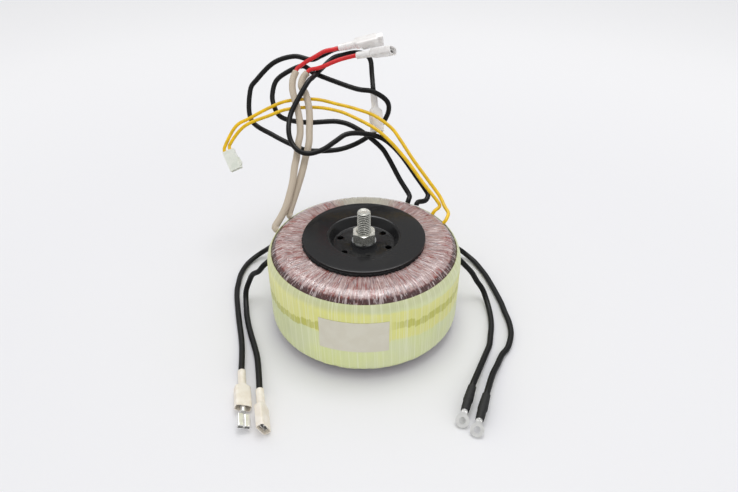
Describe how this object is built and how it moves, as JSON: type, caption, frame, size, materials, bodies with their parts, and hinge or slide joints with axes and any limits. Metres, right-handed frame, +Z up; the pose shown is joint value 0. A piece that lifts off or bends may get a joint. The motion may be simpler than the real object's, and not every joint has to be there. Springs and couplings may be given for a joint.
{
  "type": "toroidal transformer",
  "caption": "Toroidal mains transformer clamped by a bolt between black dished washers, with loose leads that end in booted receptacles, ring terminals and a small plug.",
  "frame": {"origin": "middle of the lower dished washer's rim, which is the underside of the transformer", "axes": "+Z up along the bolt, towards its threaded end; +Y towards the leads that stand up behind the body; +X to the right of someone who looks along +Y"},
  "size_m": [0.1928, 0.2262, 0.1488],
  "materials": {
    "core_steel": "grain-oriented strip, wound",
    "wrap": "matt film",
    "enamelled_wire": "enamelled copper wire, glossy",
    "clear_film": "milky glossy film",
    "side_tape": "lime-yellow glossy tape",
    "label_stock": "bare, satin",
    "rubber_pad": "matt",
    "black_paint": "glossy black paint",
    "zinc_steel": "bright zinc plate",
    "spring_steel": "dull zinc plate",
    "sleeve": "woven glass sleeve",
    "red_pvc": "glossy",
    "yellow_pvc": "glossy",
    "black_pvc": "satin",
    "tinned_brass": "bright tin",
    "white_boot": "translucent, satin",
    "cream_boot": "satin",
    "nylon": "natural nylon",
    "contact_brass": "bright",
    "shrink_tube": "satin"
  },
  "bodies": {
    "root": {"core": "core_steel", "core_wrap": "wrap", "primary_winding": "enamelled_wire", "layer_wrap": "wrap", "secondary_winding": "enamelled_wire", "outer_film": "clear_film", "side_tape": "side_tape", "label": "label_stock", "upper_pad": "rubber_pad", "lower_pad": "rubber_pad", "upper_washer": "black_paint", "lower_washer": "black_paint", "bolt": "zinc_steel", "spring_washer": "spring_steel", "nut": "zinc_steel", "left_sleeve": "sleeve", "right_sleeve": "sleeve", "red_lead_1": "red_pvc", "red_lead_2": "red_pvc", "red_terminal_1": "tinned_brass", "red_terminal_2": "tinned_brass", "red_boot_1": "white_boot", "red_boot_2": "white_boot", "looped_lead_1": "black_pvc", "looped_lead_2": "black_pvc", "looped_terminal_1": "tinned_brass", "looped_terminal_2": "tinned_brass", "looped_boot_1": "white_boot", "looped_boot_2": "white_boot", "yellow_lead_1": "yellow_pvc", "yellow_lead_2": "yellow_pvc", "yellow_contact_1": "contact_brass", "yellow_contact_2": "contact_brass", "plug_housing": "nylon", "left_lead_1": "black_pvc", "left_lead_2": "black_pvc", "left_terminal_1": "tinned_brass", "left_terminal_2": "tinned_brass", "left_boot_1": "cream_boot", "left_boot_2": "cream_boot", "right_lead_1": "black_pvc", "right_lead_2": "black_pvc", "ring_terminal_1": "tinned_brass", "ring_terminal_2": "tinned_brass", "shrink_tube_1": "shrink_tube", "shrink_tube_2": "shrink_tube"}
  },
  "joints": []
}
